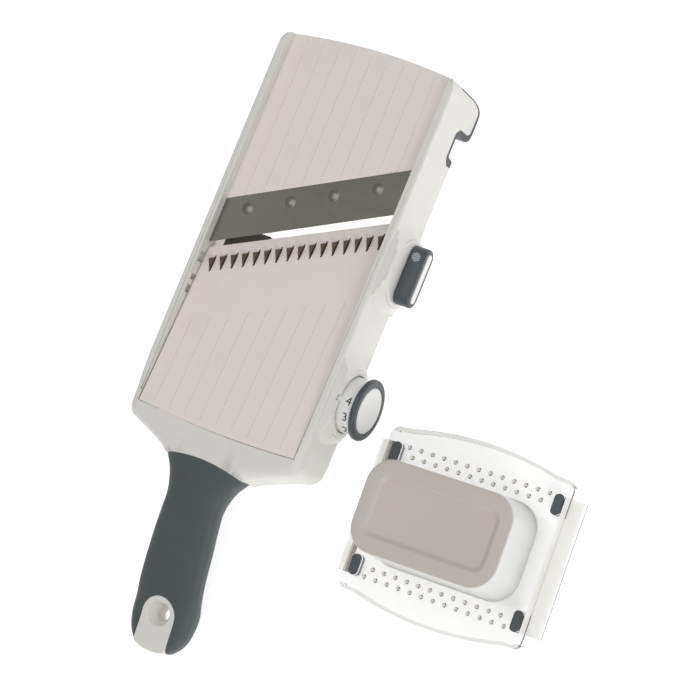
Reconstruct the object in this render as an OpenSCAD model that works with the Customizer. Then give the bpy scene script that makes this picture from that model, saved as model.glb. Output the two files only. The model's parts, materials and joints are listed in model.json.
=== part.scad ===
// Hand-held adjustable mandoline slicer with a clear food guard.
// Millimetres, +Z up. The origin is where the axis of the hang hole meets the table,
// +Y runs along the slicer from the handle to the far end, +X is the side of the dials.

/* [Slicer body] */
// Width across the tops of the two side rails
body_w = 112; // [111:0.5:113]
// Height of the rail tops above the table
rail_top = 39; // [38.5:0.5:39.5]
// Width of the flat strip along the top of each rail
rail_w = 4.75; // [4.5:0.25:5]
// How far each side wall leans outward between its top and the table
wall_lean = 2.9; // [2.5:0.1:3.2]
// Thickness of the lower part of each side wall
wall_t = 3; // [2.8:0.1:3.2]
// Height of the lower edge of the side walls above the table
wall_foot_z = 9.5; // [9:0.5:10]

/* [Runways] */
// Depth of the upper runway below the rail tops
upper_drop = 5.9; // [5.8:0.1:6]
// Thickness of both runway plates
plate_t = 2.5; // [2.4:0.1:2.6]
// Downward tilt of the lower runway at its rest setting, in degrees
rest_tilt = 4.4; // [4.3:0.1:4.5]
// Depth of the lower runway below the rail tops at its hinge
hinge_drop = 1; // [0.9:0.1:1.1]
// Number of thin lengthwise ridges on each runway
ridge_count = 9; // [5:2:9]

/* [Slicing blade] */
// Skew of the blade across the runway, in degrees
skew = 25; // [24.8:0.1:25.2]
// Length of the blade along the runway, from its cutting edge to its back
blade_len = 26.3; // [26:0.1:26.6]
// Thickness of the blade
blade_t = 1.2; // [1:0.1:1.3]
// Gap along the runway between the lower runway and the cutting edge
slot_gap = 3; // [2.8:0.1:3.2]

/* [Julienne blades] */
// Number of julienne fins
fin_count = 16; // [8:1:16]
// Spacing of the fins across the runway
fin_pitch = 6; // [5.5:0.1:6]
// Height of the fins above the lower runway
fin_h = 6; // [5:0.5:6]
// Thickness of each fin
fin_t = 0.5; // [0.4:0.1:0.6]
// Downward travel of the julienne carrier
carrier_travel = 8.4; // [8.4:0.1:8.6]

/* [Dials] */
// Diameter of the grip rim of the thickness dial
dial_rim_d = 34.6; // [33:0.2:35]
// Length of the bar of the julienne knob
knob_bar_len = 34; // [32:0.5:34]

/* [Handle] */
// Diameter of the straight part of the hang hole
hang_hole_d = 8; // [7:0.5:9]

/* [Food guard] */
// Width of the flat of the guard plate, between its fold lines
guard_flat_w = 103.4; // [103:0.2:104]
// Height of the top of the guard plate above the table
guard_plate_z = 9; // [9:0.1:9.2]
// Height of the cap above the guard plate
cap_h = 38; // [34:0.5:40]

/* [Hidden] */
$fn = 64;

ivory = [0.86, 0.84, 0.82];
bright_ivory = [0.9, 0.9, 0.89];
charcoal = [0.26, 0.29, 0.3];
steel = [0.62, 0.62, 0.6];
clear = [0.88, 0.9, 0.9, 0.5];

eps = 0.01;               // overlap of joined shapes and overrun of cuts
half_w = body_w / 2;
in_x = half_w - rail_w;   // inner face of each rail
foot_lean = half_w + wall_lean;
low_in_x = half_w + wall_lean / 2 - wall_t;   // inner face of the thin lower walls
flange_z = rail_top - 14; // lower edge of the thick rail flange

near_y = 101;             // apex of the near edge of the runway
far_y = 326.8;            // far ends of the rails
far_apex_y = 330.4;       // apex of the far edge of the runway
far_arc_r = 373;
near_arc_r = 589;
near_corner_r = 7.8;

edge_y = 223.3;           // cutting edge of the blade at the middle of the slicer
lead_y = edge_y - slot_gap;
slope = tan(skew);
upper_z = rail_top - upper_drop;

hinge_y = 107;            // tilt axis of the lower runway
plate_lift = 1.8;         // runway surface above the tilt axis
hinge_z = rail_top - hinge_drop - plate_lift;
pin_r = 1.5;
bar_ys = [265, 314];      // cross bars under the upper runway
screw_xs = [-30, 30];
notches = [[187.1, 5.7], [176.3, 3.2], [168.5, 4.5]];   // start and length along the left rail

fin_x0 = -44.4;           // first julienne fin
fin_y0 = 183.8;           // near end of the slit of that fin
slit_len = 9.8;
slit_w = 1.1;
carrier_gap = 2.2;        // from the carrier up to the lower runway
carrier_t = 3.5;

knob_y = 219.5;           // axis of the julienne knob
knob_z = rail_top - 21;
crank_r = carrier_travel / 2 / sin(45);
crank_pin_r = 1.5;
pin_play = 0.3;           // between the crank pin and the slot of the carrier

dial_y = 142.6;           // axis of the thickness dial
dial_z = rail_top - 17.8;
dial_step = 33;           // turn between two neighbouring settings, 0 to 4
dial_drum_r = 15.6;
dial_boss_x = half_w + 6.4;   // outer face of the boss round the dial
well_r = 16.4;            // well in that boss, which the drum turns in
well_floor_x = dial_boss_x - 2.2;
drum_end_x = dial_boss_x + 8.1;
shaft_end_x = dial_boss_x + 5;
shaft_r = 4;
cam_r = 8.35;
cam_offset = 0.68;        // eccentricity of the dial cams
cam_phase = -117;         // direction of the eccentricity at rest, from +Y towards +Z
cam_x = 35;               // middle of each cam

boss_r = 19;
boss_x = half_w + 5.6;    // outer face of the boss round the julienne knob
boss_top = rail_top - 0.5;
boss_foot = 2;            // lowest point of both bosses above the table

core_w = 22;              // handle core
tab_w = 20.6;             // hanging tab
tab_round_y = -1.8;       // centre of the round end of the tab
grip_end_r = 20.4;        // plan radius of the end of the tab
funnel_z = 11;            // where the hang hole starts to widen
funnel_y = -2.4;          // middle of its mouth, 8 above that
grip_arc_r = 98.3;        // front edge of the grip
grip_arc_y = 85.5 - grip_arc_r;

guard_x = 140.6;          // middle of the food guard beside the slicer
guard_y = 98.3;
guard_turn = 2.5;
wing_y = 37.3;            // half length of the side wings
wing_out = 59.6;          // outer edge of the side wings
cap_half_x = 42.9;
cap_half_y = 27.4;
cap_wall = 2;
recess_half_x = 34.3;     // recess in the top of the cap
recess_half_y = 16.2;
recess_r = 5.5;
foot_r = 2.7;             // pads of the food guard

function arc(cx, cy, r, a0, a1, n = 12) =
  [for (i = [0 : n]) let (a = a0 + (a1 - a0) * i / n) [cx + r * cos(a), cy + r * sin(a)]];
function mirrored(pts) = [for (i = [len(pts) - 1 : -1 : 0]) [-pts[i][0], pts[i][1]]];
function with_mirror(pts) = concat(pts, mirrored(pts));

// Extrudes a (Y, Z) outline from x0 to x1
module along_x(x0, x1) {
  translate([x0, 0, 0]) rotate([90, 0, 90]) linear_extrude(x1 - x0) children();
}

// Extrudes an (X, Z) outline from y0 to y1
module along_y(y0, y1) {
  translate([0, y1, 0]) rotate([90, 0, 0]) linear_extrude(y1 - y0) children();
}

// Round bar along X with its axis at (y, z)
module bar_x(x0, x1, y, z, r) {
  translate([x0, y, z]) rotate([0, 90, 0]) cylinder(h = x1 - x0, r = r);
}

// Strip across the slicer that follows the skew of the blade
// from_y and to_y are where its edges cross the middle of the slicer
module skew_strip(x0, x1, from_y, to_y) {
  polygon([[x0, from_y + slope * x0], [x1, from_y + slope * x1],
    [x1, to_y + slope * x1], [x0, to_y + slope * x0]]);
}

// Places a shape drawn flat, with its tilt axis at the origin, on the tilted lower runway
module on_tilt() {
  translate([0, hinge_y, hinge_z]) rotate([-rest_tilt, 0, 0]) children();
}

// ---------------------------------------------------------------- slicer body

// Outline of the main block seen from above, at half width w
module block_plan(w) {
  near = arc(w - near_corner_r, 93.8 + near_corner_r, near_corner_r, -88, 0, 8);
  far = arc(w - 8, far_y - 8, 8, 0, 80, 6);
  end = arc(0, far_apex_y - far_arc_r, far_arc_r, 82, 90, 6);
  polygon(with_mirror(concat([[0, 95.3]], near, far, end)));
}

// Main block, leaning outward from the rail tops to the table
module block_solid() {
  hull() {
    translate([0, 0, rail_top - 0.1]) linear_extrude(0.1) block_plan(half_w - 0.9);
    translate([0, 0, rail_top - 0.5]) linear_extrude(0.2) block_plan(half_w - 0.3);
    translate([0, 0, rail_top - 1.2]) linear_extrude(0.2) block_plan(half_w);
    linear_extrude(0.1) block_plan(foot_lean);
  }
}

// Side outline of the body: near corner, lower edge, hook notch and foot
module side_profile() {
  polygon(concat(
    [[90, rail_top + 1], [90, 13], [96, 11], [106, wall_foot_z], [285, wall_foot_z]],
    arc(286.4, 11.4, 2, -90, 0, 4),
    [[289, 15.3]],
    arc(299.5, 12.3, 3, 90, 0, 4),
    arc(307, 5.2, 5.2, 180, 270, 6),
    arc(317, 10, 10, 270, 360, 8),
    arc(322, 34, 5, 0, 90, 5),
    [[322, rail_top + 1]]));
}

// Shoulders between the rails and the handle, seen from above
module shoulder_plan() {
  polygon(with_mirror([[0, 76], [21.5, 76], [23.6, 80.6], [26.9, 84], [33.7, 87.4], [42.2, 90.8],
    [49.5, 93.6], [50.5, 95], [50.5, 106], [0, 106]]));
}

module shoulder_profile() {
  polygon([[74, rail_top], [74, 17.5], [83, 15.7], [88, 13.5], [94, 11.4], [106, wall_foot_z + 0.1],
    [106, rail_top]]);
}

module outer_solid() {
  intersection() {
    block_solid();
    along_x(-70, 70) side_profile();
  }
  intersection() {
    linear_extrude(rail_top) shoulder_plan();
    along_x(-52, 52) shoulder_profile();
  }
}

// Side outline of the rubber edging round the far feet
module pad_profile() {
  polygon(concat(
    [[325, 24], [340, 24], [340, -5], [300, -5], [284.2, 5], [284.2, 14.5], [288, 17.5], [302, 17.5],
    [305.6, 14]],
    arc(308.6, 5.6, 3, 180, 270, 5),
    arc(317, 10, 7.6, 270, 360, 8)));
}

// Deep channel between the rails, open at the far end
module channel() {
  translate([0, 0, upper_z - 4.2]) linear_extrude(20)
    polygon(with_mirror(concat(
      arc(0, near_y + near_arc_r, near_arc_r, 270, 270 + asin(in_x / near_arc_r)),
      [[in_x, 340], [0, 340]])));
}

// Space under the runways, open to the table
module belly() {
  along_y(104, 323.5) polygon(with_mirror([[0, -1], [low_in_x, -1], [low_in_x, flange_z - 3],
    [in_x, flange_z], [in_x, upper_z], [0, upper_z]]));
  translate([0, 0, -1]) linear_extrude(rail_top - 2)
    polygon(with_mirror([[0, 90], [27, 90], [38, 93.8], [48, 97.6], [low_in_x - 2, 101],
      [low_in_x, 105], [0, 106]]));
}

// Thicker inner lining of the walls above the far feet
module foot_lining(side) {
  scale([side, 1, 1]) intersection() {
    block_solid();
    along_x(in_x, 62) side_profile();
    translate([in_x, 286, 0]) cube([12, 45, flange_z + 1]);
  }
}

// Curved wall that closes the far end below the upper runway
module end_apron() {
  translate([0, 0, 17]) linear_extrude(upper_z - 4.2 - 17) intersection() {
    difference() {
      block_plan(half_w);
      translate([0, -3]) block_plan(half_w);
    }
    translate([-in_x - 0.4, 320]) square([2 * in_x + 0.8, 20]);
  }
}

// Round boss that swells out of the right wall round a shaft, with its outer face at x
module boss(x, y, z) {
  intersection() {
    union() {
      translate([half_w, y, z]) rotate([0, 90, 0])
        cylinder(h = x - 1 - half_w, r1 = boss_r + 8, r2 = boss_r);
      translate([x - 1 - eps, y, z]) rotate([0, 90, 0])
        cylinder(h = 1, r1 = boss_r, r2 = boss_r - 1);
    }
    translate([half_w - 1, y - 30, boss_foot]) cube([12, 60, boss_top - boss_foot]);
  }
}

// Cross bar that carries the upper runway
module cross_bar(y) {
  translate([-in_x - eps, y - 3, upper_z - 11]) cube([2 * in_x + 2 * eps, 6, 6.8]);
}

// Guide ribs that keep an end of the julienne carrier upright
module carrier_guides(x0, x1, y, top) {
  for (side = [-1, 1]) translate([x0, y + side * 5 - 1.5, wall_foot_z + 0.5])
    cube([x1 - x0, 3, top - wall_foot_z - 0.5]);
}

// Handle core inside the grip
module handle_core() {
  along_x(-core_w / 2, core_w / 2) polygon([[96, 36.5], [84, 34], [64, 31], [41, 26], [8, 16.8],
    [-8, 12.4], [-8, 5], [13, 9.6], [41, 17.6], [64, 21.5], [84, 21], [96, 21]]);
}

// Ivory tab that fills the grip from top to bottom round the hang hole
module hanging_tab() {
  near = [for (s = handle_stations) if (s[0] < 25) s];
  n = len(near) - 1;
  intersection() {
    union() {
      translate([0, tab_round_y, 0]) cylinder(h = 30, d = tab_w);
      translate([-tab_w / 2, -25, 0]) cube([tab_w, 25 + tab_round_y, 30]);
    }
    along_x(-tab_w, tab_w) polygon(concat([for (s = near) [s[0], s[2]]],
      [for (i = [n : -1 : 0]) [near[i][0], near[i][3]]]));
    translate([0, tab_round_y, 0]) cylinder(h = 30, r = grip_end_r);
  }
}

// Straight bore with a mouth that widens towards the end of the handle
module hang_hole() {
  translate([0, 0, -1]) cylinder(h = 30, d = hang_hole_d);
  hull() {
    translate([0, 0, funnel_z]) cylinder(h = eps, d = hang_hole_d);
    translate([0, funnel_y, funnel_z + 8]) cylinder(h = eps, d = hang_hole_d + 8.8);
  }
}

// Pockets in the inner face of the left rail beside the julienne slits
module rail_notches() {
  for (n = notches)
    translate([-in_x - 3.2, n[0], rail_top - 9]) cube([3.4, n[1], 6.3]);
}

module frame() color(ivory) difference() {
  union() {
    difference() {
      outer_solid();
      channel();
      belly();
      // end face of the block between the walls, left to the apron
      translate([-in_x, 318, -1]) cube([2 * in_x, 30, 60]);
    }
    foot_lining(1);
    foot_lining(-1);
    end_apron();
    for (y = bar_ys) cross_bar(y);
    boss(dial_boss_x, dial_y, dial_z);
    boss(boss_x, knob_y, knob_z);
    for (side = [0, 1]) mirror([side, 0, 0]) bar_x(in_x - 1.2, half_w, dial_y, dial_z, 8);
    bar_x(in_x - 1.2, half_w, knob_y, knob_z, 7.5);
    carrier_guides(-low_in_x - 0.5, -48, 190.5, rail_top - 13);
    carrier_guides(48, low_in_x + 0.5, 233.5, rail_top - 16.5);
    handle_core();
    hanging_tab();
  }
  // front edge of the grip
  difference() {
    translate([0, grip_arc_y, -1]) cylinder(h = 60, r = grip_arc_r, $fn = 180);
    handle_core();
    hanging_tab();
  }
  for (side = [-1, 1]) scale([side, 1, 1]) intersection() {
    along_x(in_x - 2, 70) pad_profile();
    translate([in_x - 3, 270, -10]) cube([30, 70, 40]);
  }
  hang_hole();
  rail_notches();
  bar_x(-half_w, half_w + 10, dial_y, dial_z, 6);
  bar_x(well_floor_x, dial_boss_x + 1, dial_y, dial_z, well_r);
  bar_x(in_x - 10, half_w + 10, knob_y, knob_z, 5.5);
  for (side = [-1, 1]) scale([side, 1, 1]) bar_x(in_x - 1, in_x + 3, hinge_y, hinge_z, pin_r);
  for (y = bar_ys, x = screw_xs) translate([x, y, 10]) cylinder(h = 30, r = 1.5);
}

module foot_pad(side) color(charcoal) scale([side, 1, 1]) intersection() {
  block_solid();
  along_x(in_x, 70) side_profile();
  along_x(in_x - 2, 70) pad_profile();
}

module foot_pad_left() foot_pad(-1);
module foot_pad_right() foot_pad(1);

// ---------------------------------------------------------------- upper runway and blade

// Thin lengthwise ridges, drawn from y0 to y1 with their tops at height z
module ridges(z, y0, y1, skewed_near, skewed_far) {
  pitch = 2 * in_x / (ridge_count + 1);
  for (i = [1 : ridge_count]) {
    x = -in_x + i * pitch;
    from_y = y0 + skewed_near * slope * x;
    to_y = y1 + skewed_far * slope * x;
    translate([x - 0.35, from_y, z - 0.4]) cube([0.7, to_y - from_y, 0.6]);
  }
}

module upper_runway() color(ivory) difference() {
  union() {
    // plate behind the blade, out to the curved far edge
    translate([0, 0, upper_z - plate_t]) linear_extrude(plate_t) intersection() {
      translate([0, far_apex_y - far_arc_r]) circle(r = far_arc_r, $fn = 360);
      skew_strip(-in_x, in_x, edge_y + 9, edge_y + 200);
    }
    // rim and cross ribs under the plate
    translate([0, 0, upper_z - 4.2]) linear_extrude(3) intersection() {
      translate([0, far_apex_y - far_arc_r]) circle(r = far_arc_r - 0.2, $fn = 360);
      skew_strip(-in_x, in_x, edge_y + 9, edge_y + 200);
      union() {
        skew_strip(-in_x, in_x, edge_y + 9, edge_y + blade_len + 3);
        for (side = [-1, 1]) translate([side * (in_x - 2) - 2, 200]) square([4, 145]);
        for (y = bar_ys) translate([-in_x, y - 3]) square([2 * in_x, 6]);
        translate([-in_x, 324]) square([2 * in_x, 10]);
      }
    }
    ridges(upper_z, edge_y + blade_len + 0.6, far_apex_y - 4, 1, 0);
  }
  // step that the blade lies in
  translate([0, 0, upper_z - blade_t]) linear_extrude(5)
    skew_strip(-in_x - 1, in_x + 1, edge_y - 5, edge_y + blade_len + 0.2);
  for (i = [0 : 3]) translate([rivet_x(i), rivet_y(i), 20]) cylinder(h = 20, r = 1.8);
  for (y = bar_ys, x = screw_xs)
    translate([x, y, upper_z - 5]) cylinder(h = 4.2, r = 1.5);
}

// Four screws from below, through the cross bars into the upper runway
module runway_screws() color(steel) for (y = bar_ys, x = screw_xs) translate([x, y, 0]) {
  difference() {
    translate([0, 0, upper_z - 13.4]) cylinder(h = 2.4, r = 3);
    translate([0, 0, upper_z - 13.5]) cylinder(h = 1.4, r = 1.4, $fn = 6);
  }
  translate([0, 0, upper_z - 11 - eps]) cylinder(h = 10, r = 1.5);
}

function rivet_x(i) = -36.4 + 23.4 * i;
function rivet_y(i) = edge_y + 17.8 + slope * rivet_x(i);

module slicing_blade() color(steel) difference() {
  translate([0, 0, upper_z - blade_t]) linear_extrude(blade_t)
    skew_strip(-in_x + 0.1, in_x - 0.1, edge_y, edge_y + blade_len);
  // bevel on the underside of the cutting edge
  multmatrix([[1, 0, 0, 0], [slope, 1, 0, edge_y], [0, 0, 1, upper_z], [0, 0, 0, 1]])
    along_x(-60, 60) polygon([[-1, -0.06], [0, -0.06], [3.2, -blade_t - eps], [3.2, -3], [-1, -3]]);
  for (i = [0 : 3]) translate([rivet_x(i), rivet_y(i), upper_z - 3]) cylinder(h = 5, r = 1.8);
}

// Domed rivets through the blade and the front of the upper runway
module blade_rivets() color(steel) for (i = [0 : 3]) translate([rivet_x(i), rivet_y(i), upper_z])
  rotate_extrude() polygon(concat([[0, -5.2], [3, -5.2], [3, -4.2], [1.8, -4.2], [1.8, 0], [3.5, 0]],
    arc(0, -7.4, 8.18, 64.7, 90, 6)));

// ---------------------------------------------------------------- lower runway

lead_v = (lead_y - hinge_y) / cos(rest_tilt);   // leading edge at the middle, along the tilted plate
side_gap = 0.5;
near_gap = 0.15;

module lower_runway() color(ivory) on_tilt() difference() {
  union() {
    translate([0, 0, plate_lift - plate_t]) linear_extrude(plate_t) intersection() {
      skew_strip(-in_x + side_gap, in_x - side_gap, -200, lead_v);
      translate([0, near_y - hinge_y + near_gap + near_arc_r])
        mirror([0, 1]) circle(r = near_arc_r, $fn = 360);
    }
    // hinge knuckles and stiffening ribs along the sides
    for (side = [-1, 1]) {
      translate([side * (in_x - 5.3) - 4.8, -3.4, -3]) cube([9.6, 6.8, 4]);
      translate([side * (in_x - 2.5) - 1, 0, -4.5]) cube([2, 62, 4]);
      // pads that rest on the cams of the dial
      translate([side * cam_x - 5, dial_y - hinge_y - 5, -4.2]) cube([10, 10, 4]);
    }
    translate([0, 0, plate_lift]) ridges(0, near_y - hinge_y + 4, lead_v - 46, 0, 1);
  }
  for (side = [-1, 1]) scale([side, 1, 1])
    translate([in_x - 9, 0, 0]) rotate([0, 90, 0]) cylinder(h = 12, r = pin_r + 0.05);
  for (i = [0 : fin_count - 1]) translate([slit_x(i) - slit_w / 2, slit_v(i), -5])
    cube([slit_w, slit_len, 12]);
  // bevel under the leading edge
  multmatrix([[1, 0, 0, 0], [slope, 1, 0, lead_v], [0, 0, 1, plate_lift], [0, 0, 0, 1]])
    along_x(-60, 60) polygon([[0.5, -0.8], [0.1, -0.8], [-1.8, -plate_t - 1], [0.5, -plate_t - 1]]);
}

function slit_x(i) = fin_x0 + fin_pitch * i;
function slit_v(i) = (fin_y0 - hinge_y) / cos(rest_tilt) + slope * fin_pitch * i;

module runway_hinge_pins() color(steel) for (side = [-1, 1]) scale([side, 1, 1])
  bar_x(in_x - 8.5, in_x + 3, hinge_y, hinge_z, pin_r);

// ---------------------------------------------------------------- julienne blades

carrier_top = plate_lift - plate_t - carrier_gap;   // height on the tilted plate

module julienne_carrier() color(charcoal) difference() {
  union() {
    on_tilt() translate([0, 0, carrier_top - carrier_t]) linear_extrude(carrier_t) {
      difference() {
        skew_strip(-47, 46.6, slit_v(0) - slope * fin_x0 - 1.8, slit_v(0) - slope * fin_x0 + slit_len + 1.4);
        translate([44.9, 100]) square([5, 15.2]);
      }
      // wide end towards the blade
      polygon(concat([[-46, 80]], [[-20, 92], [-20, 107.8]], arc(-42, 103.8, 4, 90, 180, 6)));
    }
    // upright end tongues between the guide ribs of the frame
    translate([-50.6, 187.3, rail_top - 20]) cube([5, 6.4, 7]);
    translate([45.4, 230.3, rail_top - 20]) cube([5.2, 6.4, 4]);
    // lug round the crank pin
    translate([40, knob_y - 9.5, knob_z]) cube([5.3, 13, 7.4]);
  }
  translate([39, knob_y - crank_r - crank_pin_r - pin_play, knob_z + 2.4])
    cube([8, crank_r - crank_r * cos(45) + 2 * crank_pin_r + 2 * pin_play, 3.6]);
}

module julienne_blades() color(steel) on_tilt() for (i = [0 : fin_count - 1])
  translate([slit_x(i), slit_v(i), carrier_top]) rotate([90, 0, 90])
    translate([0, 0, -fin_t / 2]) linear_extrude(fin_t) {
      top = plate_t + carrier_gap;
      polygon([[0.9, 0], [0.9, top + 0.2], [5.8, top + fin_h], [8.6, top + 0.2], [8.6, 0]]);
    }

module julienne_knob() color(charcoal) difference() {
  hull() {
    for (side = [-1, 1], s = [[boss_x + 0.4, 5.2], [boss_x + 1.4, 6], [boss_x + 8, 6], [boss_x + 9.4, 5]])
      translate([s[0] - 0.3, knob_y + side * (knob_bar_len / 2 - 6), knob_z]) rotate([0, 90, 0])
        cylinder(h = 0.6, r = s[1], $fn = 32);
  }
  bar_x(boss_x - 1, boss_x + 8.2, knob_y, knob_z, 3.4);
  hull() for (side = [-1, 1]) bar_x(boss_x + 8.6, boss_x + 12, knob_y + side * 12, knob_z, 2.5);
}

module julienne_knob_insert() color(bright_ivory) {
  translate([boss_x + 8.6, knob_y - 12, knob_z - 2.45]) cube([1.5, 24, 4.9]);
  for (side = [-1, 1]) bar_x(boss_x + 8.6, boss_x + 10.1, knob_y + side * 12, knob_z, 2.45);
}

module knob_screw() color(steel) {
  difference() {
    bar_x(boss_x + 6.2, boss_x + 8.1, knob_y, knob_z, 3);
    translate([boss_x + 7.3, knob_y, knob_z]) rotate([0, 90, 0]) cylinder(h = 2, r = 1.3, $fn = 6);
  }
  bar_x(boss_x - 2, boss_x + 6.2, knob_y, knob_z, 1.25);
}

module julienne_shaft() color(bright_ivory) difference() {
  bar_x(48.9, boss_x + 6.2, knob_y, knob_z, 3.4);
  bar_x(boss_x - 2, boss_x + 7, knob_y, knob_z, 1.25);
}

module julienne_bush() color(steel) difference() {
  bar_x(in_x - 1.2, boss_x, knob_y, knob_z, 5.5);
  bar_x(in_x - 2, boss_x + 1, knob_y, knob_z, 3.45);
}

// Crank arm on the inner end of the knob shaft, with the pin that lifts the carrier
module julienne_crank() color(steel) {
  translate([46, knob_y, knob_z]) rotate([0, 90, 0]) cylinder(h = 2.9, r = 4);
  translate([46, knob_y, knob_z]) rotate([45, 0, 0]) translate([0, -2.2, 0]) cube([2.4, 4.4, 5.5]);
  bar_x(40.4, 48.4, knob_y - crank_r * cos(45), knob_z + crank_r * sin(45), crank_pin_r);
  bar_x(46, 48.4, knob_y - crank_r * cos(45), knob_z + crank_r * sin(45), 2.2);
}

// ---------------------------------------------------------------- thickness dial

module dial_drum() color(bright_ivory) difference() {
  bar_x(well_floor_x + 0.3, drum_end_x, dial_y, dial_z, dial_drum_r);
  bar_x(dial_boss_x - 3, shaft_end_x, dial_y, dial_z, shaft_r);
  bar_x(shaft_end_x - 1, drum_end_x, dial_y, dial_z, 1.5);
  bar_x(shaft_end_x + 1, drum_end_x + 1, dial_y, dial_z, 3.2);
}

// Grip ring round the outer end of the drum
module dial_rim() color(charcoal) translate([drum_end_x, dial_y, dial_z]) rotate([0, 90, 0])
  rotate_extrude() polygon(concat([[13.1, 0]], arc(dial_rim_d / 2 - 0.7, 0.7, 0.7, -90, 0, 4),
    arc(dial_rim_d / 2 - 1.4, 1.7, 1.4, 0, 90, 6), [[13.1, 3.1]]));

module dial_face() color(bright_ivory) translate([drum_end_x, dial_y, dial_z]) rotate([0, 90, 0])
  rotate_extrude() polygon(concat([[0, 0], [13, 0]], arc(12.2, 2.5, 0.8, 0, 90, 4), [[0, 3.3]]));

module dial_screw() color(steel) {
  difference() {
    bar_x(shaft_end_x + 1, drum_end_x - 0.1, dial_y, dial_z, 3.1);
    translate([drum_end_x - 1, dial_y, dial_z]) rotate([0, 90, 0]) cylinder(h = 2, r = 1.4, $fn = 6);
  }
  bar_x(shaft_end_x - 10, shaft_end_x + 1, dial_y, dial_z, 1.5);
}

module dial_shaft() color(bright_ivory) difference() {
  bar_x(-half_w + 1, shaft_end_x, dial_y, dial_z, shaft_r);
  bar_x(shaft_end_x - 10, shaft_end_x + 1, dial_y, dial_z, 1.5);
}

// Two eccentric discs on the dial shaft that hold the lower runway up
module dial_cams() color(bright_ivory) for (side = [-1, 1]) difference() {
  bar_x(side * cam_x - 3, side * cam_x + 3, dial_y + cam_offset * cos(cam_phase),
    dial_z + cam_offset * sin(cam_phase), cam_r);
  bar_x(side * cam_x - 4, side * cam_x + 4, dial_y, dial_z, shaft_r);
}

module dial_bushes() color(steel) {
  difference() {
    bar_x(in_x - 1.2, well_floor_x, dial_y, dial_z, 6);
    bar_x(in_x - 2, well_floor_x + 1, dial_y, dial_z, shaft_r + 0.05);
  }
  difference() {
    bar_x(-half_w, -in_x + 1.2, dial_y, dial_z, 6);
    bar_x(-half_w + 0.6, -in_x + 2, dial_y, dial_z, shaft_r + 0.05);
  }
}

// Wheel with a click notch for each setting of the dial
module detent_wheel() color(charcoal) difference() {
  bar_x(40.5, 44.5, dial_y, dial_z, 8);
  bar_x(40, 45, dial_y, dial_z, shaft_r);
  for (i = [0 : 4]) let (a = -90 + dial_step * i)
    translate([40, dial_y + 8.4 * cos(a), dial_z + 8.4 * sin(a)]) rotate([0, 90, 0]) cylinder(h = 5, r = 1.6);
}

// Leaf spring from the right wall that drops into the notches from below
module detent_spring() color(steel) {
  along_x(40.9, 44.1) polygon([[dial_y - 16, wall_foot_z + 1.4], [dial_y - 1.4, wall_foot_z + 2.2],
    [dial_y, wall_foot_z + 3.3], [dial_y + 1.4, wall_foot_z + 2.2], [dial_y + 1.4, wall_foot_z + 1.6],
    [dial_y, wall_foot_z + 2.7], [dial_y - 1.2, wall_foot_z + 1.6], [dial_y - 16, wall_foot_z + 0.8]]);
  translate([40.9, dial_y - 20, wall_foot_z + 0.8]) cube([low_in_x - 40.9, 4.1, 0.6]);
}

// ---------------------------------------------------------------- handle grip

// Stations of the handle: position along Y, half width, top and bottom
handle_stations = [[-22.4, 3, 11.2, 6], [-21.4, 7.6, 12.8, 3.4], [-18.2, 12.9, 14.2, 1],
  [-12.5, 17, 15, 0], [-5, 19.2, 16.2, 0], [4.5, 19.6, 18.8, 0.2], [13, 19.6, 21.4, 6],
  [24, 19.2, 24.8, 10.4],
  [41, 18.6, 29.6, 14.2], [54, 17.7, 33.1, 16.7], [64, 17.5, 35.5, 17.6], [74, 20.3, 37.4, 17.5],
  [81, 24.6, 38.4, 16.4], [87, 29.2, 39, 14.6]];
ring_points = 40;

// Rounded cross-section of the handle at a station
function ring(s) = [for (i = [0 : ring_points - 1])
  let (a = 360 * i / ring_points, c = cos(a), d = sin(a), p = 2 / 2.9)
  [s[1] * sign(c) * pow(abs(c), p), s[0],
   (s[2] + s[3]) / 2 + (s[2] - s[3]) / 2 * sign(d) * pow(abs(d), p)]];

module handle_solid() {
  n = len(handle_stations);
  points = [for (s = handle_stations) each ring(s)];
  sides = [for (k = [0 : n - 2], i = [0 : ring_points - 1])
    let (a = k * ring_points + i, b = k * ring_points + (i + 1) % ring_points)
    each [[a, b, b + ring_points], [a, b + ring_points, a + ring_points]]];
  near = [[for (i = [ring_points - 1 : -1 : 0]) i]];
  far = [[for (i = [0 : ring_points - 1]) (n - 1) * ring_points + i]];
  polyhedron(points, concat(sides, near, far));
}

module handle_grip() color(charcoal) difference() {
  intersection() {
    handle_solid();
    translate([0, grip_arc_y, -1]) cylinder(h = 60, r = grip_arc_r, $fn = 180);
  }
  handle_core();
  translate([0, tab_round_y, -1]) cylinder(h = 40, d = tab_w);
  translate([-tab_w / 2, -30, -1]) cube([tab_w, 30 + tab_round_y, 40]);
}

// ---------------------------------------------------------------- food guard

module at_guard() {
  translate([guard_x, guard_y, 0]) rotate([0, 0, guard_turn]) children();
}

// Outline of the guard plate, with arced ends, inset by d
module guard_plan(d = 0) {
  r = 181;
  w = guard_flat_w / 2 + 2.4;
  polygon(with_mirror(concat([[0, 0]], [[w - d, 0], [w - d, 39]],
    arc(w - 6, 40.4, 6 - d, 0, 65, 5), arc(0, 51.6 - r, r - d, 76, 90, 8))));
}

module guard_outline(d = 0) {
  guard_plan(d);
  mirror([0, 1]) guard_plan(d);
}

module guard_foot_plan(d = 0) {
  for (sx = [-1, 1], sy = [-1, 1]) translate([sx * 48, sy * 31.9]) {
    for (e = [-1, 1]) translate([0, e * 3.1]) circle(r = foot_r - d, $fn = 32);
    square([2 * foot_r - 2 * d, 6.2], center = true);
  }
}

module cap_plan(half_x, half_y, r) {
  polygon(concat(arc(half_x - r, half_y - r, r, 0, 90, 8), arc(r - half_x, half_y - r, r, 90, 180, 8),
    arc(r - half_x, r - half_y, r, 180, 270, 8), arc(half_x - r, r - half_y, r, 270, 360, 8)));
}

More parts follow.
